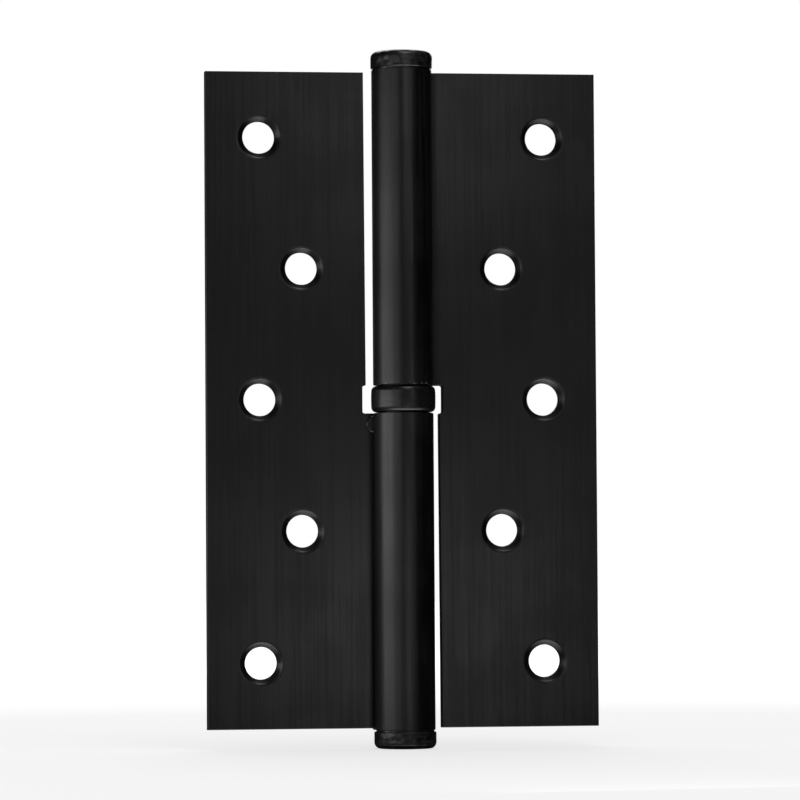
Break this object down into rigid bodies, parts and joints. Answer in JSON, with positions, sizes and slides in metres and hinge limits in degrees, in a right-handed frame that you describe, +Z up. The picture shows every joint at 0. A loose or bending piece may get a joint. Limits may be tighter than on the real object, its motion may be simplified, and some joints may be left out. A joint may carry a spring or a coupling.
{
  "type": "lift-off hinge",
  "caption": "Lift-off butt hinge with rolled knuckles, a ball thrust ring on a fixed pin, end caps and countersunk leaves.",
  "frame": {"origin": "on the pin's axis, halfway up the leaves", "axes": "+Z up the pin, +X towards the door leaf, -Y out of the countersunk faces"},
  "size_m": [0.075, 0.0122, 0.1326],
  "materials": {
    "leaf_sheet": "satin black coating over fine vertical brushing",
    "cap_steel": "satin black coating over turned steel",
    "shell_steel": "satin black coating over pressed steel",
    "pin_steel": "ground",
    "bearing_steel": "turned and hardened",
    "ball_steel": "polished"
  },
  "bodies": {
    "frame_side": {"frame_leaf": "leaf_sheet", "pin": "pin_steel", "bottom_cap": "cap_steel", "bearing_shell": "shell_steel", "lower_race": "bearing_steel"},
    "turning_race": {"upper_race": "bearing_steel"},
    "door_side": {"door_leaf": "leaf_sheet", "top_cap": "cap_steel"},
    "ball_ring": {"ball_01": "ball_steel", "ball_02": "ball_steel", "ball_03": "ball_steel", "ball_04": "ball_steel", "ball_05": "ball_steel", "ball_06": "ball_steel", "ball_07": "ball_steel", "ball_08": "ball_steel", "ball_09": "ball_steel", "ball_10": "ball_steel", "ball_11": "ball_steel", "ball_12": "ball_steel"}
  },
  "joints": [
    {"name": "swing", "type": "hinge", "parent": "frame_side", "child": "turning_race", "pos_m": [0, 0, 0], "axis": [0, 0, 1], "range_deg": [-180, 120]},
    {"name": "lift_off", "type": "slide", "parent": "turning_race", "child": "door_side", "axis": [0, 0, 1], "range_m": [0, 0.055]},
    {"name": "ball_orbit", "type": "hinge", "parent": "frame_side", "child": "ball_ring", "pos_m": [0, 0, 0], "axis": [0, 0, 1], "range_deg": [-90, 60]}
  ],
  "couplings": [
    {"joint": "ball_orbit", "follows": "swing", "ratio": 0.5}
  ]
}
